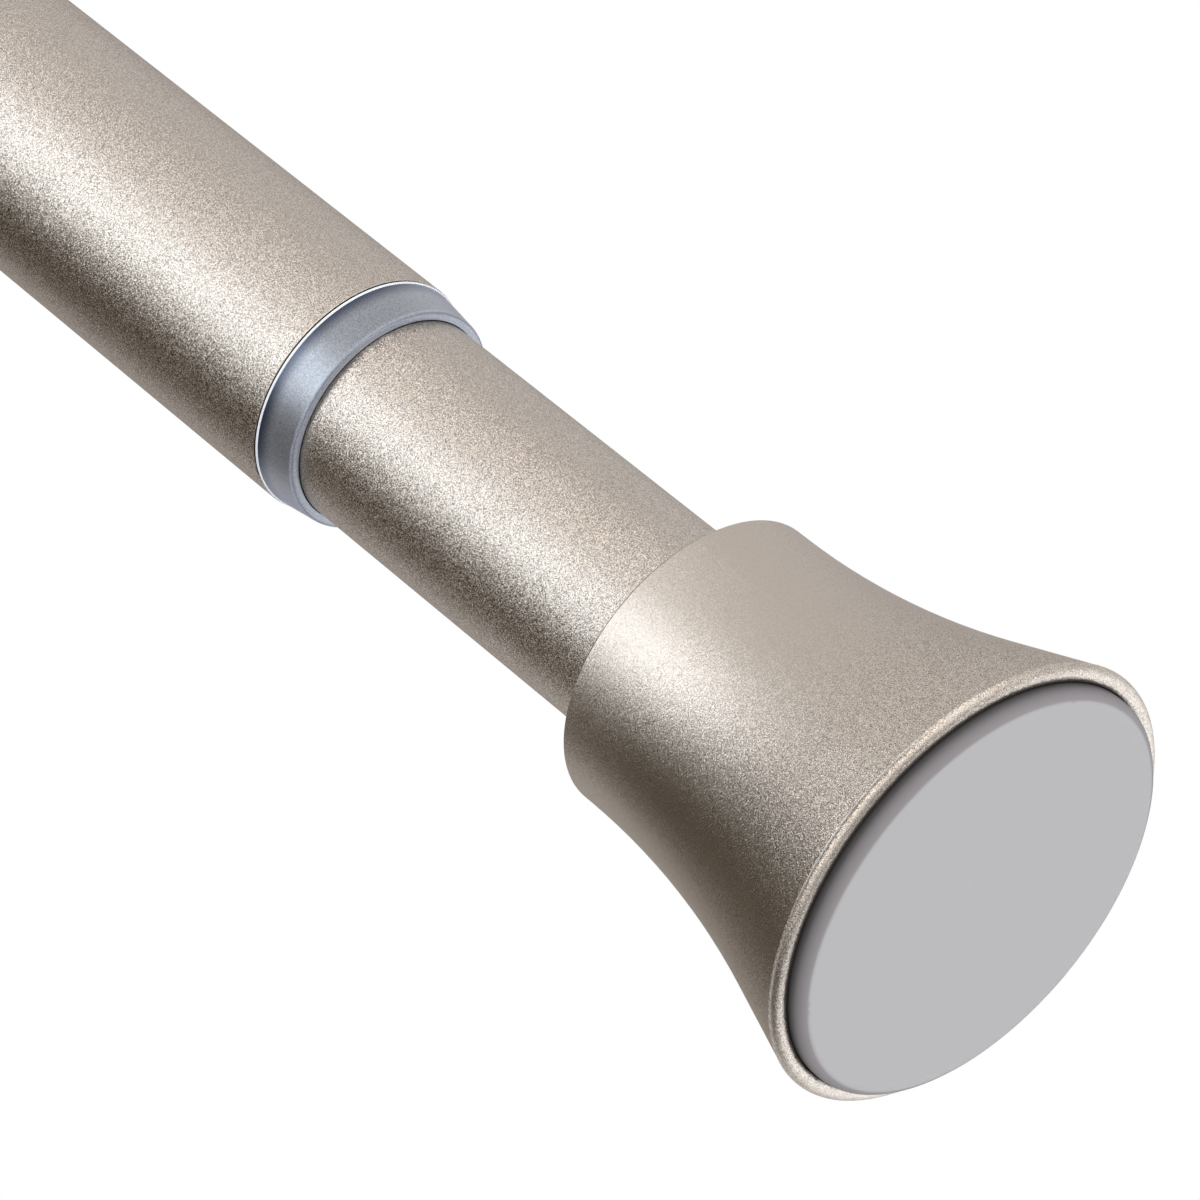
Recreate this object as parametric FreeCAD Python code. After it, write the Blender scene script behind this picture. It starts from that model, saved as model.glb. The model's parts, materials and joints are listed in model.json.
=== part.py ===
import FreeCAD, Part
import math
import os

# Spring tension rod, in millimetres. The rod lies along X with the base pad's wall face at x = 0.
# The large tube is fixed to the base end, and the small tube slides out of it towards the tip at +X.

# Length of the rod from wall face to wall face
shortest_length = 406.4
longest_length = 558.8
rest_extension = 22.0
rest_length = shortest_length + rest_extension
mouth_to_tip = 88.0

# Tubes
large_tube_radius = 12.7
large_tube_wall = 0.7
small_tube_radius = 11.0
small_tube_wall = 0.7
tube_edge_break = 0.15

# Clearances between pieces that fit together
press_clearance = 0.05
running_clearance = 0.08
thread_clearance = 0.06
sliding_clearance = 0.3
axial_clearance = 0.3

# Flared end cap
cap_length = 37.2
rim_radius = 22.95
rim_corner_radius = 0.45
lip_width = 1.5
lip_inner_break = 0.15
neck_radius = 15.55
neck_straight = 1.2
neck_edge_break = 0.3
lip_straight = 9.2
skin_thickness = 1.8
socket_wall = 1.8
web_thickness = 3.0
cavity_depth = 17.0
cavity_end_width = 0.7
rib_count = 6
rib_thickness = 1.4

# Rubber pad
pad_proud = 2.0
pad_recess_depth = 2.3
pad_gap = 0.12
pad_edge_radius = 1.15
pad_peg_count = 3
pad_peg_radius = 1.5
pad_peg_circle = 8.5
pad_peg_short = 0.4

# Cap screw, countersunk
cap_screw_radius = 1.9
cap_screw_length = 14.0
cap_screw_head_radius = 3.6
cap_screw_head_height = 2.0
cap_screw_head_land = 0.3
cap_screw_sunk = 0.2
screw_tip_taper = 1.2
recess_width = 0.8
recess_length = 3.4
recess_depth = 1.1
recess_arms = 4

# Plugs in the tube ends
plug_disc = 4.0
plug_wall = 1.6
plug_boss_radius = 4.6
plug_length = 12.0

# Spring housing
housing_spigot_length = 7.0
housing_wall = 1.15
snap_height = 0.35
snap_width = 1.0
snap_clearance = 0.1
nose_length = 12.0
hex_across_flats = 13.0
hex_clearance = 0.2

# Spring and its seats
spring_wire_radius = 0.9
spring_mean_radius = 9.1
spring_open_turns = 4
spring_wire_sides = 6
spring_length = 39.0
spring_travel = 20.0
spring_washer_thickness = 1.0
seat_post_length = 6.0
seat_post_taper = 0.8
seat_post_clearance = 0.3

# Follower
follower_head_thickness = 4.0
follower_shank_spare = 4.0
rod_socket_depth = 15.0

# Drive screw and its stop
thread_radius = 5.0
rod_end_break = 0.8
rod_pin_radius = 1.25
rod_pin_short = 0.5
stop_clearance = 0.6
stop_washer_radius = 9.5
stop_washer_thickness = 2.0
stop_screw_radius = 1.7
stop_screw_depth = 10.0
stop_screw_head_radius = 3.5
stop_screw_head_height = 2.4
stop_screw_head_break = 0.8

# Drive nut and glide ring
nut_gap = 2.0
nut_flange_radius = 11.2
nut_flange_width = 1.5
nut_journal_radius = 9.6
glide_ring_width = 5.4
glide_ring_slit = 2.4
nut_sleeve_length = 20.0
nut_disc = 6.0
nut_hub_radius = 7.4
nut_skirt_wall = 1.4
nut_pin_count = 3
nut_pin_radius = 1.2
nut_pin_depth = 1.8

# Trim ring in the large tube's mouth
ring_sleeve_length = 12.0
ring_flange_width = 0.3
ring_flange_short = 0.08
ring_root_radius = 12.52
ring_tip_radius = 11.97
ring_length = 4.8
ring_nose_radius = 0.25
ring_bevel_depth = 0.27
ring_bevel_length = 0.5
ring_land_length = 3.0
ring_relief = 0.25

# Steps along the rod, from the base wall face
rim_front = pad_proud
pad_seat = rim_front + pad_recess_depth
socket_floor = pad_seat + web_thickness
cap_end = rim_front + cap_length
housing_start = socket_floor + plug_length
base_seat = housing_start + housing_spigot_length
spring_start = base_seat + spring_washer_thickness
spring_end = spring_start + spring_length
head_start = spring_end + spring_washer_thickness
head_end = head_start + follower_head_thickness
nose_end = head_end + nose_length
shank_end = nose_end + spring_travel + follower_shank_spare
socket_end = shank_end - rod_socket_depth
nut_start = shank_end + rest_extension + nut_gap
journal_start = nut_start + nut_flange_width
journal_end = journal_start + glide_ring_width + 2 * axial_clearance
small_tube_start = journal_end + nut_flange_width
nut_end = small_tube_start + nut_sleeve_length
full_extension = longest_length - rest_length
rod_end = nut_end + full_extension + stop_clearance
mouth = rest_length - mouth_to_tip
small_tube_end = rest_length - socket_floor

# Radii that follow from the fits
large_bore = large_tube_radius - large_tube_wall
small_bore = small_tube_radius - small_tube_wall
socket_radius = large_tube_radius + press_clearance
socket_outer = socket_radius + socket_wall
recess_radius = rim_radius - lip_width
pad_radius = recess_radius - pad_gap
housing_radius = large_bore - press_clearance
housing_bore = housing_radius - housing_wall
spring_inner = spring_mean_radius - spring_wire_radius
seat_post_radius = spring_inner - seat_post_clearance
washer_outer = housing_bore - sliding_clearance
washer_inner = seat_post_radius + press_clearance
sliding_bore = thread_radius + thread_clearance
hex_hole = hex_across_flats + 2 * hex_clearance


def at(x, radius):
    """A point of an outline: distance along the rod and distance from its axis."""
    return FreeCAD.Vector(x, 0, radius)


def outline(steps):
    """Closed outline from points, where a pair (middle, end) is an arc to that end."""
    edges = []
    last = steps[0]
    for step in steps[1:] + steps[:1]:
        if isinstance(step, tuple):
            middle, end = step
            edges.append(Part.Arc(last, middle, end).toShape())
            last = end
        else:
            if last.distanceToPoint(step) > 1e-6:
                edges.append(Part.makeLine(last, step))
            last = step
    return Part.Wire(edges)


def turned(steps):
    """Solid of revolution about the rod's axis."""
    face = Part.Face(outline(steps))
    return face.revolve(FreeCAD.Vector(0, 0, 0), FreeCAD.Vector(1, 0, 0), 360)


def ring(start, end, inner, outer):
    """Plain ring or, with no inner radius, a plain disc."""
    body = Part.makeCylinder(outer, end - start, FreeCAD.Vector(start, 0, 0), FreeCAD.Vector(1, 0, 0))
    if inner > 0:
        hole = Part.makeCylinder(inner, end - start, FreeCAD.Vector(start, 0, 0), FreeCAD.Vector(1, 0, 0))
        body = body.cut(hole)
    return body


def hexagon(start, end, across_flats):
    """Hexagonal bar along the rod, with a flat on top."""
    sides = 6
    corner = across_flats / math.sqrt(3)
    corners = []
    for i in range(sides + 1):
        angle = 2 * math.pi * i / sides
        corners.append(FreeCAD.Vector(start, corner * math.cos(angle), corner * math.sin(angle)))
    return Part.Face(Part.makePolygon(corners)).extrude(FreeCAD.Vector(end - start, 0, 0))


def around_axis(shape, count):
    """Copies of a shape spaced evenly about the rod's axis."""
    full_turn = 360.0
    copies = []
    for i in range(count):
        copy = shape.copy()
        copy.rotate(FreeCAD.Vector(0, 0, 0), FreeCAD.Vector(1, 0, 0), full_turn * i / count)
        copies.append(copy)
    return copies


def to_tip(shape):
    """Turns a base-end piece round so that it serves at the tip."""
    turned_round = shape.copy()
    turned_round.rotate(FreeCAD.Vector(rest_length / 2, 0, 0), FreeCAD.Vector(0, 0, 1), 180)
    return turned_round


def flare_run():
    """Length along the rod from the flare's start at the neck to the centre of the rim's rounded corner."""
    return cap_end - neck_straight - rim_front - rim_corner_radius


def flare_slope():
    """Slope at the end of the flare's arc, which its straight lip keeps up to the rim's corner."""
    return 2 * math.atan((rim_radius - neck_radius) / (flare_run() + lip_straight))


def flare_point(angle):
    """Point on the flare's arc at a slope between none, at the neck, and the lip's."""
    slope = flare_slope()
    radius = (flare_run() - lip_straight * math.cos(slope)) / math.sin(slope) - rim_corner_radius
    x = cap_end - neck_straight - radius * math.sin(angle)
    return at(x, neck_radius + radius * (1 - math.cos(angle)))


def corner_point(angle):
    """Point on the rim's rounded corner, with the angle from straight outwards towards the neck."""
    centre_x = rim_front + rim_corner_radius
    centre_radius = rim_radius - rim_corner_radius
    return at(
        centre_x + rim_corner_radius * math.sin(angle),
        centre_radius + rim_corner_radius * math.cos(angle),
    )


def cap_skin():
    """The cap's outer form, solid inside, with the pad's recess and the tube's socket."""
    slope = flare_slope()
    forward = -math.pi / 2
    return turned([
        at(cap_end, socket_radius),
        at(cap_end, neck_radius - neck_edge_break),
        at(cap_end - neck_edge_break, neck_radius),
        flare_point(0.0),
        (flare_point(slope / 2), flare_point(slope)),
        corner_point(slope),
        (corner_point((slope + forward) / 2), corner_point(forward)),
        at(rim_front, recess_radius + lip_inner_break),
        at(rim_front + lip_inner_break, recess_radius),
        at(pad_seat, recess_radius),
        at(pad_seat, 0.0),
        at(socket_floor, 0.0),
        at(socket_floor, socket_radius),
    ])


def cap_cavity():
    """Tapered hollow between the skin and the socket, open towards the pad as a moulding's core leaves it."""
    lip = corner_point(flare_slope())
    mouth_radius = lip.z - (pad_seat - lip.x) * math.tan(flare_slope()) - skin_thickness
    return turned([
        at(pad_seat, socket_outer),
        at(pad_seat, mouth_radius),
        at(pad_seat + cavity_depth, socket_outer + cavity_end_width),
        at(pad_seat + cavity_depth, socket_outer),
    ])


def end_cap():
    cavity = cap_cavity()
    rib = Part.makeBox(cap_length, rib_thickness, rim_radius, FreeCAD.Vector(0, -rib_thickness / 2, 0))
    ribs = around_axis(rib, rib_count)
    cap = cap_skin().cut(cavity.cut(ribs))
    cap = cap.cut(screw_hole(press_clearance))
    peg_hole = Part.makeCylinder(
        pad_peg_radius + press_clearance,
        web_thickness,
        FreeCAD.Vector(pad_seat, 0, pad_peg_circle),
        FreeCAD.Vector(1, 0, 0),
    )
    return cap.cut(around_axis(peg_hole, pad_peg_count))


def screw_profile(allowance):
    """Countersunk screw's outline, grown by an allowance for its hole."""
    head = pad_seat + cap_screw_sunk
    neck = head + cap_screw_head_land + cap_screw_head_height
    tip = head + cap_screw_length
    return [
        at(head, 0.0),
        at(head, cap_screw_head_radius + allowance),
        at(head + cap_screw_head_land, cap_screw_head_radius + allowance),
        at(neck, cap_screw_radius + allowance),
        at(tip - screw_tip_taper, cap_screw_radius + allowance),
        at(tip + allowance, cap_screw_radius / 2 + allowance),
        at(tip + allowance, 0.0),
    ]


def screw_hole(allowance):
    opening = ring(pad_seat, pad_seat + cap_screw_sunk, 0.0, cap_screw_head_radius + allowance)
    return turned(screw_profile(allowance)).fuse(opening)


def cap_screw():
    screw = turned(screw_profile(0.0))
    arm = Part.makeBox(
        recess_depth,
        recess_width,
        recess_length / 2,
        FreeCAD.Vector(pad_seat + cap_screw_sunk, -recess_width / 2, 0),
    )
    return screw.cut(around_axis(arm, recess_arms))


def wall_pad():
    """Rubber pad with a rounded edge, and pegs that hold it in the cap's web."""
    corner = math.sqrt(0.5) * pad_edge_radius
    flat_radius = pad_radius - pad_edge_radius
    disc = turned([
        at(0.0, 0.0),
        at(0.0, flat_radius),
        (at(pad_edge_radius - corner, flat_radius + corner), at(pad_edge_radius, pad_radius)),
        at(pad_seat, pad_radius),
        at(pad_seat, 0.0),
    ])
    peg = Part.makeCylinder(
        pad_peg_radius,
        web_thickness - pad_peg_short,
        FreeCAD.Vector(pad_seat, 0, pad_peg_circle),
        FreeCAD.Vector(1, 0, 0),
    )
    return disc.fuse(around_axis(peg, pad_peg_count)).removeSplitter()


def tube(start, end, radius, wall):
    """Round tube with a slight break on its outer edges."""
    return turned([
        at(start, radius - wall),
        at(start, radius - tube_edge_break),
        at(start + tube_edge_break, radius),
        at(end - tube_edge_break, radius),
        at(end, radius - tube_edge_break),
        at(end, radius - wall),
    ])


def tube_plug(radius):
    """Cup-shaped plug against the cap's web, with a boss for the cap screw."""
    cup = turned([
        at(socket_floor, 0.0),
        at(socket_floor, radius),
        at(housing_start, radius),
        at(housing_start, radius - plug_wall),
        at(socket_floor + plug_disc, radius - plug_wall),
        at(socket_floor + plug_disc, plug_boss_radius),
        at(housing_start, plug_boss_radius),
        at(housing_start, 0.0),
    ])
    return cup.cut(screw_hole(press_clearance))


def base_plug():
    """Plug with a spigot that carries the spring housing and a post that centres the spring."""
    spigot = housing_bore - press_clearance
    groove = spigot - snap_height
    snap_start = housing_start + housing_spigot_length / 2
    body = turned([
        at(socket_floor, 0.0),
        at(socket_floor, housing_radius),
        at(housing_start, housing_radius),
        at(housing_start, spigot),
        at(snap_start - snap_clearance, spigot),
        at(snap_start - snap_clearance, groove),
        at(snap_start + snap_width + snap_clearance, groove),
        at(snap_start + snap_width + snap_clearance, spigot),
        at(base_seat, spigot),
        at(base_seat, seat_post_radius),
        at(base_seat + seat_post_length - seat_post_taper, seat_post_radius),
        at(base_seat + seat_post_length, seat_post_radius - seat_post_taper),
        at(base_seat + seat_post_length, 0.0),
    ])
    return body.cut(screw_hole(press_clearance))


def spring_housing():
    """Sleeve round the spring: snaps on the base plug, and its nose has a hexagonal hole."""
    snap_radius = housing_bore - snap_height
    snap_start = housing_start + housing_spigot_length / 2
    sleeve = turned([
        at(housing_start, housing_bore),
        at(housing_start, housing_radius),
        at(nose_end, housing_radius),
        at(nose_end, 0.0),
        at(head_end, 0.0),
        at(head_end, housing_bore),
        at(snap_start + snap_width, housing_bore),
        at(snap_start + snap_width, snap_radius),
        at(snap_start, snap_radius),
        at(snap_start, housing_bore),
    ])
    return sleeve.cut(hexagon(head_end, nose_end, hex_hole))


def spring_turn_ends():
    """Where the wire's centre line stands at the end of each half turn, along the rod."""
    closed_rise = spring_wire_radius
    open_half_turns = 2 * spring_open_turns
    open_rise = (spring_length - 4 * closed_rise) / open_half_turns
    rises = [closed_rise] * 2 + [open_rise] * open_half_turns + [closed_rise] * 2
    ends = [spring_start]
    for rise in rises:
        ends.append(ends[-1] + rise)
    return ends


def wire_corners(centre):
    """Corners of the wire's section, an even polygon that stands in for its circle."""
    corners = []
    for i in range(spring_wire_sides + 1):
        angle = 2 * math.pi * (i + 0.5) / spring_wire_sides
        corners.append(centre + at(spring_wire_radius * math.cos(angle), spring_wire_radius * math.sin(angle)))
    return corners


def compression_spring():
    """Coil spring of tilted half turns, with its closed end turns ground flat against the washers."""
    ends = spring_turn_ends()
    across = FreeCAD.Vector(0, 1, 0)
    half_turns = []
    for i in range(len(ends) - 1):
        side = 1 if i % 2 == 0 else -1
        first = at(ends[i], side * spring_mean_radius)
        last = at(ends[i + 1], -side * spring_mean_radius)
        wire_section = Part.Face(Part.makePolygon(wire_corners(first)))
        half_turns.append(wire_section.revolve((first + last) / 2, (last - first).cross(across) * side, 180))
    coil = half_turns[0].fuse(half_turns[1:])
    chamber = ring(spring_start, spring_end, 0.0, housing_bore)
    return coil.common(chamber)


def spring_washer(start):
    return ring(start, start + spring_washer_thickness, washer_inner, washer_outer)


def follower():
    """Plunger: post in the spring, round head in the housing, hexagonal shank through its nose."""
    post_start = spring_end - seat_post_length + spring_washer_thickness
    head = turned([
        at(post_start, 0.0),
        at(post_start, seat_post_radius - seat_post_taper),
        at(post_start + seat_post_taper, seat_post_radius),
        at(head_start, seat_post_radius),
        at(head_start, washer_outer),
        at(head_end, washer_outer),
        at(head_end, 0.0),
    ])
    body = head.fuse(hexagon(head_end, shank_end, hex_across_flats))
    body = body.cut(ring(socket_end, shank_end, 0.0, thread_radius + press_clearance))
    return body.cut(cross_hole()).removeSplitter()


def cross_bar(radius, half_length):
    """Bar across the follower's shank, through the threaded rod."""
    centre = (socket_end + shank_end) / 2
    start = FreeCAD.Vector(centre, 0, -half_length)
    return Part.makeCylinder(radius, 2 * half_length, start, FreeCAD.Vector(0, 0, 1))


def cross_hole():
    return cross_bar(rod_pin_radius + press_clearance, hex_across_flats / 2 + press_clearance)


def rod_pin():
    return cross_bar(rod_pin_radius, hex_across_flats / 2 - rod_pin_short)


def threaded_rod():
    """Drive screw at its thread's outer radius, with a tapped hole in its far end."""
    bar = turned([
        at(socket_end, 0.0),
        at(socket_end, thread_radius - rod_end_break),
        at(socket_end + rod_end_break, thread_radius),
        at(rod_end - rod_end_break, thread_radius),
        at(rod_end, thread_radius - rod_end_break),
        at(rod_end, 0.0),
    ])
    tapped = ring(rod_end - stop_screw_depth, rod_end, 0.0, stop_screw_radius + press_clearance)
    return bar.cut(cross_hole()).cut(tapped)


def stop_washer():
    hole = stop_screw_radius + press_clearance
    return ring(rod_end, rod_end + stop_washer_thickness, hole, stop_washer_radius)


def stop_screw():
    """Pan-head screw in the threaded rod's end."""
    seat = rod_end + stop_washer_thickness
    top = seat + stop_screw_head_height
    tip = rod_end - stop_screw_depth + screw_tip_taper
    return turned([
        at(tip, 0.0),
        at(tip, stop_screw_radius),
        at(seat, stop_screw_radius),
        at(seat, stop_screw_head_radius),
        at(top - stop_screw_head_break, stop_screw_head_radius),
        at(top, stop_screw_head_radius - stop_screw_head_break),
        at(top, 0.0),
    ])


def nut_pin_bar(allowance):
    inner = small_bore - nut_pin_depth - allowance
    outer = small_tube_radius - press_clearance + allowance
    centre = small_tube_start + nut_disc / 2
    bar = Part.makeCylinder(
        nut_pin_radius + allowance,
        outer - inner,
        FreeCAD.Vector(centre, 0, inner),
        FreeCAD.Vector(0, 0, 1),
    )
    return around_axis(bar, nut_pin_count)


def drive_nut():
    """Nut with a journal for the glide ring and a sleeve pressed in the small tube."""
    sleeve = small_bore - press_clearance
    body = turned([
        at(nut_start, sliding_bore),
        at(nut_start, nut_flange_radius),
        at(journal_start, nut_flange_radius),
        at(journal_start, nut_journal_radius),
        at(journal_end, nut_journal_radius),
        at(journal_end, nut_flange_radius),
        at(small_tube_start, nut_flange_radius),
        at(small_tube_start, sleeve),
        at(nut_end, sleeve),
        at(nut_end, sleeve - nut_skirt_wall),
        at(small_tube_start + nut_disc, sleeve - nut_skirt_wall),
        at(small_tube_start + nut_disc, nut_hub_radius),
        at(nut_end, nut_hub_radius),
        at(nut_end, sliding_bore),
    ])
    return body.cut(nut_pin_bar(press_clearance))


def glide_ring():
    """Split ring on the nut's journal, running in the large tube."""
    start = journal_start + axial_clearance
    end = journal_end - axial_clearance
    whole = ring(start, end, nut_journal_radius + press_clearance, large_bore - running_clearance)
    slit = Part.makeBox(
        end - start,
        glide_ring_slit,
        large_bore,
        FreeCAD.Vector(start, -glide_ring_slit / 2, 0),
    )
    return whole.cut(slit)


def trim_ring():
    """Translucent ring: sleeve in the tube, thin flange on its end, and a tapered collar with a bevelled mouth."""
    bore = small_tube_radius + running_clearance
    nose_end_x = mouth + ring_length
    nose_centre = nose_end_x - ring_nose_radius
    nose_outer = ring_tip_radius
    corner = math.sqrt(0.5) * ring_nose_radius
    sleeve_start = mouth - ring_sleeve_length
    flange_radius = large_tube_radius - ring_flange_short
    return turned([
        at(sleeve_start, bore + ring_relief),
        at(sleeve_start, large_bore - press_clearance),
        at(mouth, large_bore - press_clearance),
        at(mouth, flange_radius),
        at(mouth + ring_flange_width, flange_radius),
        at(mouth + ring_flange_width, ring_root_radius),
        at(nose_centre, nose_outer),
        (
            at(nose_centre + corner, nose_outer - ring_nose_radius + corner),
            at(nose_end_x, nose_outer - ring_nose_radius),
        ),
        at(nose_end_x, bore + ring_bevel_depth),
        at(nose_end_x - ring_bevel_length, bore),
        at(nose_end_x - ring_land_length, bore),
        at(nose_end_x - ring_land_length, bore + ring_relief),
    ])


def tip_bush():
    """Sleeve that fills the cap's socket round the small tube."""
    start = rest_length - cap_end + axial_clearance
    return ring(start, small_tube_end, small_tube_radius + press_clearance, socket_radius - press_clearance)


def small_tube():
    body = tube(small_tube_start, small_tube_end, small_tube_radius, small_tube_wall)
    return body.cut(nut_pin_bar(press_clearance))


def pieces():
    """Every piece of the rod by its node name."""
    return {
        "large_tube": tube(socket_floor, mouth, large_tube_radius, large_tube_wall),
        "base_cap": end_cap(),
        "base_pad": wall_pad(),
        "base_plug": base_plug(),
        "base_screw": cap_screw(),
        "spring_housing": spring_housing(),
        "base_spring_washer": spring_washer(base_seat),
        "spring": compression_spring(),
        "trim_ring": trim_ring(),
        "follower_washer": spring_washer(spring_end),
        "follower": follower(),
        "rod_pin": rod_pin(),
        "threaded_rod": threaded_rod(),
        "stop_washer": stop_washer(),
        "stop_screw": stop_screw(),
        "glide_ring": glide_ring(),
        "drive_nut": drive_nut(),
        "nut_pins": Part.makeCompound(nut_pin_bar(0.0)),
        "small_tube": small_tube(),
        "tip_bush": tip_bush(),
        "tip_plug": to_tip(tube_plug(small_bore - press_clearance)),
        "tip_screw": to_tip(cap_screw()),
        "tip_cap": to_tip(end_cap()),
        "tip_pad": to_tip(wall_pad()),
    }


os.makedirs("parts", exist_ok=True)
for name, shape in pieces().items():
    shape.exportStep("parts/" + name + ".step")
    print(name, "solids", len(shape.Solids), "valid", shape.isValid(), "volume", round(shape.Volume, 1))
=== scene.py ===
"""Spring tension rod: finishes, fine pieces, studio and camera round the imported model."""
import json
import math

import bpy
import bmesh
from mathutils import Euler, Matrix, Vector


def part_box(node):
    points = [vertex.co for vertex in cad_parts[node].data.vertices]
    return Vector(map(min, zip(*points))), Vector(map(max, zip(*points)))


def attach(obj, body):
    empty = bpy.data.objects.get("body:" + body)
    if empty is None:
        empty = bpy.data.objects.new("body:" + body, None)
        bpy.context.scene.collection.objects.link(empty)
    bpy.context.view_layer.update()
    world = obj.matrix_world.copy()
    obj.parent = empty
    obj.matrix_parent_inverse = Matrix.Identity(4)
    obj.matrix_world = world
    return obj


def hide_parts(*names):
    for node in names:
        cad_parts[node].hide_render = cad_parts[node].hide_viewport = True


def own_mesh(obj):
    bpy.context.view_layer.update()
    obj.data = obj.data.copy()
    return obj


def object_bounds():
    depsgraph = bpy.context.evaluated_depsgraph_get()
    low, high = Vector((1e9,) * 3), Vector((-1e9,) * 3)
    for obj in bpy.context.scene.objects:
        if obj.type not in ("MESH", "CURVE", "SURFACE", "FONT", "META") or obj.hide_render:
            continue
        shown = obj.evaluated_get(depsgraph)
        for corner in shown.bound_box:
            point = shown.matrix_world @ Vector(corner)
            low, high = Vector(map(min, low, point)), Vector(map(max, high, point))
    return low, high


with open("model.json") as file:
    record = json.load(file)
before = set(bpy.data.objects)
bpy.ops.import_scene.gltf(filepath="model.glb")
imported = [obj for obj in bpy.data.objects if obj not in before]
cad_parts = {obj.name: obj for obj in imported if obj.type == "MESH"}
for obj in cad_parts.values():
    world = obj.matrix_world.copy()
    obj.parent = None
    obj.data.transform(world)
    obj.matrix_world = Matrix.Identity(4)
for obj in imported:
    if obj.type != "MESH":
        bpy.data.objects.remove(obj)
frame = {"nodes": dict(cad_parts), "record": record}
cad_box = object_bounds()

# Lengths are in metres. The rod lies along X, with its wall faces square to X.
MILLIMETRE = 0.001
TURN = 2 * math.pi
SHARP_ANGLE = math.radians(30)

# Photographed view: angles in degrees, and the camera's place from the middle of the tip's wall face
VIEW_AZIMUTH = 49.785
VIEW_ELEVATION = 43.07
VIEW_DISTANCE = 0.55923
VIEW_LEFT = 0.033705
VIEW_UP = 0.026323
VIEW_LENS = 190.70
SENSOR_WIDTH = 36.0
NEAREST_SEEN = 0.01

# Tubes
TUBE_WALL = 0.7 * MILLIMETRE
TUBE_EDGE_BREAK = 0.06 * MILLIMETRE
ROUND_SIDES = 256

# Trim ring
SLEEVE_GAP = 0.05 * MILLIMETRE
FLANGE_WIDTH = 0.3 * MILLIMETRE
FLANGE_BREAK = 0.06 * MILLIMETRE
FLANGE_SEAM = 0.12 * MILLIMETRE
COLLAR_ROOT_SHORT = 0.1 * MILLIMETRE
COLLAR_TIP_RADIUS = 11.97 * MILLIMETRE
COLLAR_EDGE_RADIUS = 0.25 * MILLIMETRE
COLLAR_EDGE_STEPS = 8
BEVEL_DEPTH = 0.06 * MILLIMETRE
BEVEL_LENGTH = 0.12 * MILLIMETRE
RING_CLEARANCE = 0.03 * MILLIMETRE

# Rounded lips of the caps' rims, by radius and by depth from the wall face
BEAD_RADIUS = 1.15 * MILLIMETRE
BEAD_CREST_RADIUS = 21.95 * MILLIMETRE
BEAD_CREST_DEPTH = 1.68 * MILLIMETRE
BEAD_INNER_RADIUS = 21.44 * MILLIMETRE
BEAD_ARC_END = 22.93 * MILLIMETRE
BEAD_OUTER_RADIUS = 22.97 * MILLIMETRE
BEAD_FOOT_DEPTH = 2.52 * MILLIMETRE
BEAD_ROOT_RADIUS = 22.3 * MILLIMETRE
BEAD_STEPS = 16

# Spring: open turns between closed ones, with a pitch that changes over CLOSING_TURNS each side
WIRE_RADIUS = 0.9 * MILLIMETRE
WIRE_SIDES = 16
OPEN_TURNS = 4
CLOSED_TURNS = 1
CLOSING_TURNS = 0.25
STEPS_A_TURN = 64

# Two-start thread of the drive screw
THREAD_LEAD = 8.0 * MILLIMETRE
THREAD_STARTS = 2
THREAD_DEPTH = 0.8 * MILLIMETRE
THREAD_SIDES = 36
THREAD_STEPS_A_PITCH = 10
THREAD_CREST_SHARE = 0.3
THREAD_FLANK_SHARE = 0.2
ROD_END_SHARE = 0.3
ROD_END_BREAK = 0.8 * MILLIMETRE
TAPPED_RADIUS = 1.75 * MILLIMETRE
TAPPED_DEPTH = 10.0 * MILLIMETRE

# Finishes: mottling is (noise scale a metre, lowest, highest), and dulling is mottling of a roughness
NOISE_DETAIL = 2.0
ALL_METAL = {"Metallic": 1.0}
MIDDLE_COLOUR = (0.5, 0.5, 0.5)

# Metallic paints, whose flakes lean by up to their tilt and differ in shade by up to their speckle
FLAKE_SIZE = 0.06 * MILLIMETRE
PAINT_DULLING = (90, -0.015, 0.015)
PAINTS = {
    "tube_paint": {
        "colour": (0.426, 0.375, 0.329),
        "roughness": 0.258,
        "tilt": 0.195,
        "speckle": 0.46,
    },
    "cap_paint": {
        "colour": (0.44, 0.386, 0.337),
        "roughness": 0.325,
        "tilt": 0.13,
        "speckle": 0.04,
        "rim_tilt": 0.17,
        "rim_speckle": 0.6,
    },
}

# Depths from the wall face at which a cap's paint stops being the rim's and starts being the neck's
RIM_PAINT_DEPTH = 6.0 * MILLIMETRE
NECK_PAINT_DEPTH = 26.0 * MILLIMETRE

# Skins of the plain materials: (noise scale a metre, strength, height)
PAD_SKIN = (6000, 0.1, 0.02 * MILLIMETRE)
PLASTIC_SKIN = (4000, 0.15, 0.03 * MILLIMETRE)
STEEL_SKIN = (3000, 0.2, 0.02 * MILLIMETRE)

# Pads: the side's colour and its darkening down into the rim are painted shade
PAD_FACE_COLOUR = (0.355, 0.352, 0.360)
# Painted shade: a darker, tinted side colour for the shade between the pad's side and the rim
PAD_PAINTED_SHADE_COLOUR = (0.232, 0.216, 0.226)
PAD_SHOULDER = 0.12 * MILLIMETRE
PAD_PAINTED_SHADE_DEPTH = 1.8 * MILLIMETRE
PAD_DEEPEST_PAINTED_SHADE = 0.08
PAD_ROUGHNESS = 0.75
PAD_MOTTLING = (700, 0.985, 1.015)
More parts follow.
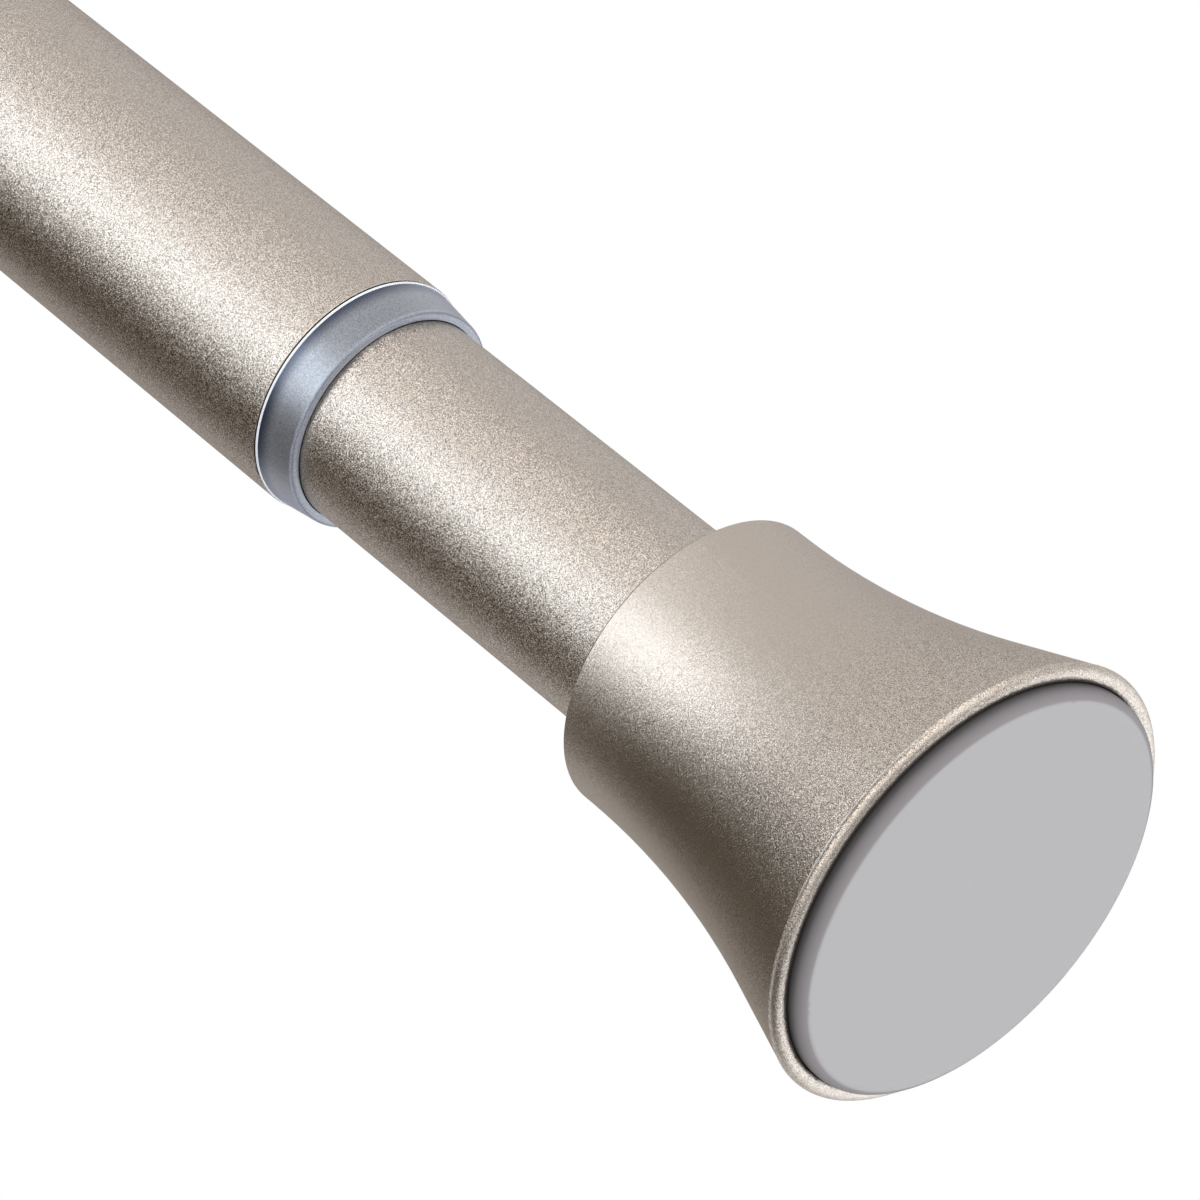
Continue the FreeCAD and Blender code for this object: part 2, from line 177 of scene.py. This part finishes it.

# Ring plastic, from the seam and the flange along the collar to its pale edge
# Painted shadow: the seam's dark colour stands in for the shadow in the gap against the tube's end
SEAM_PAINTED_SHADOW = (0.05, 0.045, 0.04)
SEAM_MARGIN = 0.015 * MILLIMETRE
FLANGE_COLOUR = (0.82, 0.84, 0.88)
# Painted shade: the collar's root is dark over a band, for the dark inside seen through the plastic
COLLAR_ROOT_PAINTED_SHADE = (0.012, 0.019, 0.045)
COLLAR_COLOUR = (0.208, 0.216, 0.236)
COLLAR_PAINTED_SHADE_BAND = 1.85 * MILLIMETRE
EDGE_COLOUR = (0.24, 0.255, 0.30)
EDGE_START = 0.4 * MILLIMETRE
EDGE_FULL = 0.2 * MILLIMETRE
COLLAR_STEEL = 0.6
EDGE_STEEL = 0.1
FROSTING_SIZE = 0.07 * MILLIMETRE
FROSTING_SPECKLE = 0.35
RING_ROUGHNESS = (400, 0.25, 0.35)
RING_LEAN_KEPT = 0.1
RING_GLOSS = {
    "Coat Weight": 0.5,
    "Coat Roughness": 0.25,
    "Coat IOR": 1.5,
    "Sheen Weight": 0.2,
    "Sheen Roughness": 0.4,
    "Sheen Tint": (0.4, 0.55, 1.0, 1.0),
}

# Moulded plastics and plated steels of the inner pieces
PLASTIC_MOTTLING = (200, 0.96, 1.04)
PLASTIC_DULLING = (500, -0.05, 0.05)
PLASTICS = {
    "white_plastic": {"colour": (0.80, 0.80, 0.77), "roughness": 0.45},
    "dark_plastic": {"colour": (0.05, 0.05, 0.055), "roughness": 0.4},
}
STEEL_MOTTLING = (250, 0.88, 1.08)
STEEL_DULLING = (900, -0.06, 0.08)
STEELS = {
    "zinc_steel": {"colour": (0.62, 0.62, 0.60), "roughness": 0.3},
    "spring_steel": {"colour": (0.35, 0.35, 0.36), "roughness": 0.35},
}

# Studio: a white room with round soft-edged lights in it, some bright and some dim
SOFT_EDGE = math.radians(15)
WHITE = (1.0, 1.0, 1.0)

# Azimuth from +X towards +Y, elevation and radius in degrees, and colour, each laid over those before
SOFT_LIGHTS = {
    "key": (251.5, 41.5, 26.9, (8.2, 9.0, 9.8)),
    "top": (335.3, 65.7, 51.6, (2.34, 2.34, 2.34)),
    "behind_camera": (292.2, 38.1, 47.6, (0.07, 0.05, 0.02)),
    "far_low": (162.8, -29.8, 35.7, (0.42, 0.38, 0.35)),
    "near_low": (216.8, -18.9, 29.4, (0.07, 0.05, 0.02)),
    "front_low": (42.0, -39.0, 33.0, (2.05, 2.15, 2.25)),
    "near_side_low": (309.8, -37.0, 26.7, (0.06, 0.06, 0.06)),
    "front_dark": (8.0, -10.0, 20.0, (0.3, 0.3, 0.3)),
    "front": (321.0, 26.0, 27.0, (2.35, 2.35, 2.35)),
}
FLOOR_CENTRE = (0.2, 0, -0.4)
FLOOR_RADIUS = 3.0
FLOOR_SIDES = 64
FLOOR_COLOUR = (0.85, 0.85, 0.85, 1)
FLOOR_ROUGHNESS = 0.9


def smooth_step(low, high, value):
    """Share from 0 at the low value to 1 at the high one, with a soft start and end."""
    share = min(max((value - low) / (high - low), 0.0), 1.0)
    return share * share * (3 - 2 * share)


# Materials

# Places of the mix node's colour sockets, whose names its sockets for other kinds of value have too
MIX_FACTOR = 0
MIX_COLOURS = (6, 7)
MIX_RESULT = 2


def new_material(name, plain_sockets):
    """Material with one main shader, whose plain numbers and colours are set on its own sockets."""
    material = bpy.data.materials.new(name)
    material.use_nodes = True
    shader = material.node_tree.nodes["Principled BSDF"]
    for socket, value in plain_sockets.items():
        shader.inputs[socket].default_value = value
    return material, material.node_tree, shader


def add_node(tree, kind, **settings):
    """Node of a kind, with its settings."""
    node = tree.nodes.new(kind)
    for setting, value in settings.items():
        setattr(node, setting, value)
    return node


def feed(tree, sockets, values):
    """Gives each socket its value: a plain one, another node's result, or None to leave it as it is."""
    for socket, value in zip(sockets, values):
        if isinstance(value, (float, tuple)):
            socket.default_value = value
        elif value is not None:
            tree.links.new(value, socket)


def calculated(tree, operation, first, second=None):
    """Number worked out from one or two others."""
    step = add_node(tree, "ShaderNodeMath", operation=operation)
    feed(tree, step.inputs, (first, second))
    return step.outputs["Value"]


def vector_step(tree, operation, first, second=None, result="Vector"):
    """Vector or number worked out from one or two vectors."""
    step = add_node(tree, "ShaderNodeVectorMath", operation=operation)
    feed(tree, step.inputs, (first, second))
    return step.outputs[result]


def shaded(tree, colour, factor):
    """Colour or vector times a number."""
    scale = add_node(tree, "ShaderNodeVectorMath", operation="SCALE")
    feed(tree, (scale.inputs[0], scale.inputs["Scale"]), (colour, factor))
    return scale.outputs["Vector"]


def blended(tree, factor, first, second):
    """Colour between two, each a plain colour or another node's result."""
    mix = add_node(tree, "ShaderNodeMix", data_type="RGBA")
    tree.links.new(factor, mix.inputs[MIX_FACTOR])
    for place, colour in zip(MIX_COLOURS, (first, second)):
        if isinstance(colour, tuple):
            mix.inputs[place].default_value = (*colour, 1)
        else:
            tree.links.new(colour, mix.inputs[place])
    return mix.outputs[MIX_RESULT]


def spread(tree, value, low, high, from_low=0.0, from_high=1.0, interpolation="LINEAR"):
    """Number remapped from one range to another."""
    remap = add_node(tree, "ShaderNodeMapRange", interpolation_type=interpolation)
    remap.inputs["From Min"].default_value = from_low
    remap.inputs["From Max"].default_value = from_high
    remap.inputs["To Min"].default_value = low
    remap.inputs["To Max"].default_value = high
    tree.links.new(value, remap.inputs["Value"])
    return remap.outputs["Result"]


def soft_share(tree, value, from_low, from_high):
    """Share from 0 at the first value to 1 at the second, with a soft start and end."""
    return spread(tree, value, 0.0, 1.0, from_low, from_high, "SMOOTHSTEP")


def place_of(tree):
    """The point on the piece, in metres, in the piece's own frame."""
    return add_node(tree, "ShaderNodeTexCoord").outputs["Object"]


def place_along(tree):
    """Distance along the rod from the base wall face, in metres."""
    split = add_node(tree, "ShaderNodeSeparateXYZ")
    tree.links.new(place_of(tree), split.inputs["Vector"])
    return split.outputs["X"]


def depth_from_wall(tree):
    """Distance along the rod from the nearer wall face, in metres."""
    middle = cad_box[1].x / 2
    from_middle = calculated(tree, "SUBTRACT", place_along(tree), middle)
    return calculated(tree, "SUBTRACT", middle, calculated(tree, "ABSOLUTE", from_middle))


def plain_normal(tree):
    """The surface normal as the mesh has it."""
    return add_node(tree, "ShaderNodeNewGeometry").outputs["Normal"]


def noise(tree, scale):
    """Soft random number that changes over the piece."""
    texture = add_node(tree, "ShaderNodeTexNoise")
    texture.inputs["Scale"].default_value = scale
    texture.inputs["Detail"].default_value = NOISE_DETAIL
    tree.links.new(place_of(tree), texture.inputs["Vector"])
    return texture.outputs["Fac"]


def mottled(tree, mottling):
    """Number that wanders between two over the piece."""
    scale, low, high = mottling
    return spread(tree, noise(tree, scale), low, high)


def dulled(tree, roughness, dulling):
    """Roughness that wanders round its plain value over the piece."""
    scale, least, most = dulling
    return mottled(tree, (scale, roughness + least, roughness + most))


def skin_normal(tree, skin):
    """Surface normal with a fine random relief."""
    scale, strength, height = skin
    relief = add_node(tree, "ShaderNodeBump")
    relief.inputs["Strength"].default_value = strength
    relief.inputs["Distance"].default_value = height
    tree.links.new(noise(tree, scale), relief.inputs["Height"])
    return relief.outputs["Normal"]


def flake_cells(tree, size):
    """A random colour for each flake of a size."""
    cells = add_node(tree, "ShaderNodeTexVoronoi", feature="F1", voronoi_dimensions="3D")
    cells.inputs["Scale"].default_value = 1 / size
    tree.links.new(place_of(tree), cells.inputs["Vector"])
    return cells.outputs["Color"]


def flake_shade(tree, cells, speckle):
    """How much lighter or darker than the rest each flake is."""
    split = add_node(tree, "ShaderNodeSeparateColor")
    tree.links.new(cells, split.inputs["Color"])
    difference = calculated(tree, "MULTIPLY", spread(tree, split.outputs["Red"], -1.0, 1.0), speckle)
    return calculated(tree, "ADD", difference, 1.0)


def flake_normal(tree, cells, tilt):
    """Surface normal, leant for each flake by up to the tilt each way."""
    centred = vector_step(tree, "SUBTRACT", cells, MIDDLE_COLOUR)
    lean = shaded(tree, centred, calculated(tree, "MULTIPLY", tilt, 2.0))
    return vector_step(tree, "NORMALIZE", vector_step(tree, "ADD", plain_normal(tree), lean))


def upright_normal(tree):
    """Surface normal with little of its lean along the rod, as a round tube under the surface has."""
    lean = vector_step(tree, "MULTIPLY", plain_normal(tree), (RING_LEAN_KEPT, 1.0, 1.0))
    return vector_step(tree, "NORMALIZE", lean)


def rim_to_neck(tree, at_rim, at_neck):
    """Number that changes along a cap from its rim to its neck."""
    depth = depth_from_wall(tree)
    return spread(tree, depth, at_rim, at_neck, RIM_PAINT_DEPTH, NECK_PAINT_DEPTH, "SMOOTHSTEP")


def flake_paint(name, colour, roughness, tilt, speckle, rim_tilt=None, rim_speckle=None):
    """Satin metallic paint: metal flakes that lean a little, each a shade lighter or darker."""
    material, tree, shader = new_material(name, ALL_METAL)
    cells = flake_cells(tree, FLAKE_SIZE)
    if rim_tilt:
        tilt = rim_to_neck(tree, rim_tilt, tilt)
        speckle = rim_to_neck(tree, rim_speckle, speckle)
    tree.links.new(shaded(tree, colour, flake_shade(tree, cells, speckle)), shader.inputs["Base Color"])
    tree.links.new(flake_normal(tree, cells, tilt), shader.inputs["Normal"])
    tree.links.new(dulled(tree, roughness, PAINT_DULLING), shader.inputs["Roughness"])
    return material


def pad_rubber():
    """Matt grey rubber, with painted shade that darkens it from the pad's shoulder down its side into the
    rim.
    """
    material, tree, shader = new_material("pad_rubber", {"Roughness": PAD_ROUGHNESS})
    depth = depth_from_wall(tree)
    # Painted shade: the side turns darker and tinted, and darkens further with depth, for the shade down
    # into the rim
    colour = blended(tree, soft_share(tree, depth, 0.0, PAD_SHOULDER), PAD_FACE_COLOUR, PAD_PAINTED_SHADE_COLOUR)
    shade = spread(tree, depth, 1.0, PAD_DEEPEST_PAINTED_SHADE, 0.0, PAD_PAINTED_SHADE_DEPTH)
    shade = calculated(tree, "MULTIPLY", shade, mottled(tree, PAD_MOTTLING))
    tree.links.new(shaded(tree, colour, shade), shader.inputs["Base Color"])
    tree.links.new(skin_normal(tree, PAD_SKIN), shader.inputs["Normal"])
    return material


def clear_ring_plastic():
    """Smoky clear plastic with the steel behind showing through, painted shade darkening its root, painted
    shadow in its seam and a bright flange.
    """
    material, tree, shader = new_material("ring_plastic", RING_GLOSS)
    tube_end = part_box("large_tube")[1].x
    flange_face = tube_end + FLANGE_WIDTH
    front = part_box("trim_ring")[1].x
    place = place_along(tree)
    # Painted shade: the collar is dark at its root and turns to its own colour over the band
    clear = soft_share(tree, place, flange_face, flange_face + COLLAR_PAINTED_SHADE_BAND)
    edge = soft_share(tree, place, front - EDGE_START, front - EDGE_FULL)
    on_flange = calculated(tree, "LESS_THAN", place, flange_face + FLANGE_BREAK)
    in_seam = calculated(tree, "LESS_THAN", place, tube_end + FLANGE_SEAM + SEAM_MARGIN)
    collar = blended(tree, clear, COLLAR_ROOT_PAINTED_SHADE, COLLAR_COLOUR)
    collar = blended(tree, edge, collar, EDGE_COLOUR)
    frosting = flake_cells(tree, FROSTING_SIZE)
    collar = shaded(tree, collar, flake_shade(tree, frosting, FROSTING_SPECKLE))
    colour = blended(tree, on_flange, collar, FLANGE_COLOUR)
    # Painted shadow in the seam against the tube's end
    colour = blended(tree, in_seam, colour, SEAM_PAINTED_SHADOW)
    tree.links.new(colour, shader.inputs["Base Color"])
    steel_share = calculated(tree, "SUBTRACT", spread(tree, edge, COLLAR_STEEL, EDGE_STEEL), on_flange)
    tree.links.new(steel_share, shader.inputs["Metallic"])
    tree.links.new(mottled(tree, RING_ROUGHNESS), shader.inputs["Roughness"])
    upright = upright_normal(tree)
    tree.links.new(upright, shader.inputs["Normal"])
    tree.links.new(upright, shader.inputs["Coat Normal"])
    return material


def inner_finish(tree, shader, colour, roughness, mottling, dulling, skin):
    """Uneven colour and roughness and a fine skin, as the inner pieces have."""
    tree.links.new(shaded(tree, colour, mottled(tree, mottling)), shader.inputs["Base Color"])
    tree.links.new(dulled(tree, roughness, dulling), shader.inputs["Roughness"])
    tree.links.new(skin_normal(tree, skin), shader.inputs["Normal"])


def moulded_plastic(name, colour, roughness):
    """Plastic with faint clouds of colour."""
    material, tree, shader = new_material(name, {})
    inner_finish(tree, shader, colour, roughness, PLASTIC_MOTTLING, PLASTIC_DULLING, PLASTIC_SKIN)
    return material


def plated_steel(name, colour, roughness):
    """Steel with a patchy plated or oiled surface."""
    material, tree, shader = new_material(name, ALL_METAL)
    inner_finish(tree, shader, colour, roughness, STEEL_MOTTLING, STEEL_DULLING, STEEL_SKIN)
    return material


def all_finishes():
    """The material of each slot in the record."""
    finishes = {}
    for slot, look in PAINTS.items():
        finishes[slot] = flake_paint(slot, **look)
    finishes["pad_rubber"] = pad_rubber()
    finishes["ring_plastic"] = clear_ring_plastic()
    for slot, look in PLASTICS.items():
        finishes[slot] = moulded_plastic(slot, **look)
    for slot, look in STEELS.items():
        finishes[slot] = plated_steel(slot, **look)
    return finishes


finishes = all_finishes()


def finish_nodes():
    """Gives each node of the frame the finish of its slot in the record."""
    for subpart in frame["record"]["subparts"]:
        node = frame["nodes"][subpart["node"]]
        node.data.materials.clear()
        node.data.materials.append(finishes[subpart["material_slot"]])


# Pieces that need a finer mesh than their nodes

def add_piece(name, points, faces, body, slot, replaced=None):
    """Mesh piece in its slot's finish that rides on a body and may stand for a node of the frame."""
    mesh = bpy.data.meshes.new(name)
    mesh.from_pydata(points, [], faces)
    surface = bmesh.new()
    surface.from_mesh(mesh)
    bmesh.ops.recalc_face_normals(surface, faces=surface.faces)
    surface.to_mesh(mesh)
    surface.free()
    mesh.shade_smooth()
    mesh.set_sharp_from_angle(angle=SHARP_ANGLE)
    mesh.materials.append(finishes[slot])
    piece = bpy.data.objects.new(name, mesh)
    bpy.context.scene.collection.objects.link(piece)
    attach(piece, body)
    if replaced:
        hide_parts(replaced)
    return piece


def around(x, radius, angle):
    """Point at a distance along the rod, a radius and an angle from straight up."""
    return (x, -radius * math.sin(angle), radius * math.cos(angle))


def turned_rows(outline, sides):
    """A loop of points round the rod's axis for each (distance, radius) of an outline."""
    return [[around(x, radius, TURN * k / sides) for k in range(sides)] for x, radius in outline]


def sweep(rows, closed):
    """Points and faces of a grid of rows, each a loop of as many points.

    A closed sweep joins its last row to its first, and an open one has a flat face on each.
    """
    points = [point for row in rows for point in row]
    width = len(rows[0])
    faces = []
    for i in range(len(rows) if closed else len(rows) - 1):
        j = (i + 1) % len(rows)
        for k in range(width):
            m = (k + 1) % width
            faces.append((i * width + k, i * width + m, j * width + m, j * width + k))
    if not closed:
        faces.append(tuple(range(width)))
        faces.append(tuple(range(len(points) - width, len(points))))
    return points, faces


def turned_piece(name, outline, body, slot, replaced=None):
    """Ring-shaped piece made by turning a closed outline round the rod's axis."""
    points, faces = sweep(turned_rows(outline, ROUND_SIDES), closed=True)
    return add_piece(name, points, faces, body, slot, replaced)


def fine_tube(name, node, body):
    """Round tube with slightly broken edges, at its node's place and size."""
    low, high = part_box(node)
    radius = high.z
    outline = [
        (low.x, radius - TUBE_WALL),
        (low.x, radius - TUBE_EDGE_BREAK),
        (low.x + TUBE_EDGE_BREAK, radius),
        (high.x - TUBE_EDGE_BREAK, radius),
        (high.x, radius - TUBE_EDGE_BREAK),
        (high.x, radius - TUBE_WALL),
    ]
    return turned_piece(name, outline, body, "tube_paint", node)


def clear_ring():
    """Trim ring: sleeve in the tube, thin flange on its end and a tapered collar with a bevelled mouth."""
    low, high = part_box("trim_ring")
    tube_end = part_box("large_tube")[1].x
    sleeve_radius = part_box("large_tube")[1].z - TUBE_WALL - SLEEVE_GAP
    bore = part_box("small_tube")[1].z + RING_CLEARANCE
    outline = [
        (low.x, bore),
        (low.x, sleeve_radius),
        (tube_end + FLANGE_SEAM, sleeve_radius),
        (tube_end + FLANGE_SEAM, high.z - FLANGE_BREAK),
        (tube_end + FLANGE_SEAM + FLANGE_BREAK, high.z),
        (tube_end + FLANGE_WIDTH - FLANGE_BREAK, high.z),
        (tube_end + FLANGE_WIDTH, high.z - FLANGE_BREAK),
        (tube_end + FLANGE_WIDTH, high.z - COLLAR_ROOT_SHORT),
    ]
    for step in range(COLLAR_EDGE_STEPS + 1):
        angle = math.pi / 2 * step / COLLAR_EDGE_STEPS
        outline.append((
            high.x - COLLAR_EDGE_RADIUS * (1 - math.sin(angle)),
            COLLAR_TIP_RADIUS - COLLAR_EDGE_RADIUS * (1 - math.cos(angle)),
        ))
    outline.append((high.x, bore + BEVEL_DEPTH))
    outline.append((high.x - BEVEL_LENGTH, bore))
    return turned_piece("clear_ring", outline, "root", "ring_plastic", "trim_ring")


def rim_bead(name, wall, inwards, body):
    """Rounded lip that lies over the flat rim of a cap, from beside the pad to the start of the flare."""
    centre = BEAD_CREST_DEPTH + BEAD_RADIUS
    first = math.asin((BEAD_INNER_RADIUS - BEAD_CREST_RADIUS) / BEAD_RADIUS)
    last = math.asin((BEAD_ARC_END - BEAD_CREST_RADIUS) / BEAD_RADIUS)
    profile = [(centre, BEAD_ROOT_RADIUS), (centre - BEAD_RADIUS / 2, BEAD_INNER_RADIUS)]
    for step in range(BEAD_STEPS + 1):
        angle = first + (last - first) * step / BEAD_STEPS
        profile.append((
            centre - BEAD_RADIUS * math.cos(angle),
            BEAD_CREST_RADIUS + BEAD_RADIUS * math.sin(angle),
        ))
    middle = (profile[-1][0] + BEAD_FOOT_DEPTH) / 2
    profile.append((middle, BEAD_OUTER_RADIUS))
    profile.append((BEAD_FOOT_DEPTH, BEAD_OUTER_RADIUS))
    outline = [(wall + inwards * depth, radius) for depth, radius in profile]
    return turned_piece(name, outline, body, "cap_paint")


def spring_places(low, high):
    """How far along the rod the wire's centre line is at each step."""
    turns = OPEN_TURNS + 2 * CLOSED_TURNS
    closed_rise = 2 * WIRE_RADIUS / STEPS_A_TURN
    open_rise = (high - low - 2 * CLOSED_TURNS * 2 * WIRE_RADIUS) / (OPEN_TURNS * STEPS_A_TURN)
    places = [low]
    for i in range(turns * STEPS_A_TURN):
        turn = (i + 0.5) / STEPS_A_TURN
        from_end = min(turn, turns - turn)
        share = smooth_step(CLOSED_TURNS - CLOSING_TURNS, CLOSED_TURNS + CLOSING_TURNS, from_end)
        places.append(places[-1] + closed_rise + (open_rise - closed_rise) * share)
    stretch = (high - low) / (places[-1] - low)
    return [low + (place - low) * stretch for place in places]


def coil_spring():
    """Round-wire compression spring with ground ends."""
    low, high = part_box("spring")
    mean_radius = high.z - WIRE_RADIUS
    rows = []
    for i, centre in enumerate(spring_places(low.x, high.x)):
        angle = TURN * i / STEPS_A_TURN
        row = []
        for k in range(WIRE_SIDES):
            side = TURN * k / WIRE_SIDES
            x = min(max(centre + WIRE_RADIUS * math.cos(side), low.x), high.x)
            row.append(around(x, mean_radius + WIRE_RADIUS * math.sin(side), angle))
        rows.append(row)
    points, faces = sweep(rows, closed=False)
    piece = add_piece("coil_spring", points, faces, "root", "spring_steel", "spring")
    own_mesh(piece)
    return piece


def thread_height(x, angle):
    """Share of the thread's depth at a place: flat crests and roots with sloping flanks."""
    phase = (THREAD_STARTS * (x / THREAD_LEAD - angle / TURN)) % 1.0
    from_crest = abs(phase - 0.5) * 2
    return 1 - smooth_step(THREAD_CREST_SHARE, THREAD_CREST_SHARE + 2 * THREAD_FLANK_SHARE, from_crest)


def drive_screw():
    """Drive screw with its two-start thread and a tapped hole in its far end."""
    low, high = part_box("threaded_rod")
    radius = high.z
    root_radius = radius - THREAD_DEPTH
    pitch = THREAD_LEAD / THREAD_STARTS
    steps = round((high.x - low.x) / pitch * THREAD_STEPS_A_PITCH)
    rows = turned_rows([(low.x, ROD_END_SHARE * radius), (low.x, root_radius)], THREAD_SIDES)
    for i in range(1, steps):
        x = low.x + (high.x - low.x) * i / steps
        from_end = min(x - low.x, high.x - x)
        limit = radius - ROD_END_BREAK + min(from_end, ROD_END_BREAK)
        row = []
        for k in range(THREAD_SIDES):
            angle = TURN * k / THREAD_SIDES
            reach = radius - THREAD_DEPTH * (1 - thread_height(x, angle))
            row.append(around(x, min(reach, limit), angle))
        rows.append(row)
    tapped_end = [
        (high.x, root_radius),
        (high.x, TAPPED_RADIUS),
        (high.x - TAPPED_DEPTH, TAPPED_RADIUS),
    ]
    rows += turned_rows(tapped_end, THREAD_SIDES)
    points, faces = sweep(rows, closed=False)
    return add_piece("drive_screw", points, faces, "screw", "zinc_steel", "threaded_rod")


# Studio

def light_share(tree, direction, azimuth, elevation, radius):
    """Share from 0 outside a soft-edged round light to 1 inside it. Its angles are in degrees."""
    across = math.radians(azimuth)
    upward = math.radians(elevation)
    reach = math.radians(radius)
    centre = (
        math.cos(upward) * math.cos(across),
        math.cos(upward) * math.sin(across),
        math.sin(upward),
    )
    alike = vector_step(tree, "DOT_PRODUCT", direction, centre, "Value")
    from_centre = calculated(tree, "ARCCOSINE", alike)
    return soft_share(tree, from_centre, reach + SOFT_EDGE, reach - SOFT_EDGE)


def studio_room():
    """World that lights the rod from all its round lights and is plain white to the camera.

    A fit to the rod's brightness in the photograph gave key, top, behind_camera, far_low, near_low and
    near_side_low their places, radii and rough strengths. The other lights and all tints were given one by
    one.
    """
    world = bpy.data.worlds.new("studio_room")
    world.use_nodes = True
    tree = world.node_tree
    background = tree.nodes["Background"]
    direction = add_node(tree, "ShaderNodeTexCoord").outputs["Generated"]
    light = WHITE
    for azimuth, elevation, radius, colour in SOFT_LIGHTS.values():
        light = blended(tree, light_share(tree, direction, azimuth, elevation, radius), light, colour)
    is_camera = add_node(tree, "ShaderNodeLightPath").outputs["Is Camera Ray"]
    tree.links.new(blended(tree, is_camera, light, WHITE), background.inputs["Color"])
    bpy.context.scene.world = world


def shader_choice(tree, factor, first, second):
    """The first shader where the factor is 0, and the second where it is 1."""
    choice = add_node(tree, "ShaderNodeMixShader")
    feed(tree, choice.inputs, (factor, first, second))
    return choice.outputs["Shader"]


def floor():
    """Pale floor well under the rod, white to the camera and open from below."""
    bpy.ops.mesh.primitive_circle_add(
        vertices=FLOOR_SIDES,
        radius=FLOOR_RADIUS,
        fill_type="NGON",
        location=FLOOR_CENTRE,
    )
    sheet = bpy.context.object
    sheet.name = "floor"
    sheet.visible_glossy = False
    plain_sockets = {"Base Color": FLOOR_COLOUR, "Roughness": FLOOR_ROUGHNESS}
    material, tree, shader = new_material("floor", plain_sockets)
    is_camera = add_node(tree, "ShaderNodeLightPath").outputs["Is Camera Ray"]
    paper = add_node(tree, "ShaderNodeEmission").outputs["Emission"]
    seen = shader_choice(tree, is_camera, shader.outputs["BSDF"], paper)
    from_below = add_node(tree, "ShaderNodeNewGeometry").outputs["Backfacing"]
    nothing = add_node(tree, "ShaderNodeBsdfTransparent").outputs["BSDF"]
    open_below = shader_choice(tree, from_below, seen, nothing)
    tree.links.new(open_below, tree.nodes["Material Output"].inputs["Surface"])
    sheet.data.materials.append(material)


def photograph_camera():
    """Camera at the photograph's view of the tip."""
    azimuth = math.radians(VIEW_AZIMUTH)
    elevation = math.radians(VIEW_ELEVATION)
    right = Vector((math.cos(azimuth), math.sin(azimuth), 0))
    back = Vector((
        math.sin(azimuth) * math.cos(elevation),
        -math.cos(azimuth) * math.cos(elevation),
        math.sin(elevation),
    ))
    up = back.cross(right)
    tip = Vector((cad_box[1].x, 0, 0))
    data = bpy.data.cameras.new("camera")
    data.lens = VIEW_LENS
    data.sensor_width = SENSOR_WIDTH
    data.clip_start = NEAREST_SEEN
    camera = bpy.data.objects.new("camera", data)
    camera.location = tip - right * VIEW_LEFT + up * VIEW_UP + back * VIEW_DISTANCE
    camera.rotation_euler = Euler((math.pi / 2 - elevation, 0, azimuth))
    bpy.context.scene.collection.objects.link(camera)
    bpy.context.scene.camera = camera


finish_nodes()
fine_tube("large_tube_skin", "large_tube", "root")
fine_tube("small_tube_skin", "small_tube", "tube")
clear_ring()
rim_bead("base_rim_bead", cad_box[0].x, 1, "root")
rim_bead("tip_rim_bead", cad_box[1].x, -1, "tube")
coil_spring()
drive_screw()
studio_room()
floor()
photograph_camera()
bpy.context.scene.view_settings.view_transform = "Standard"
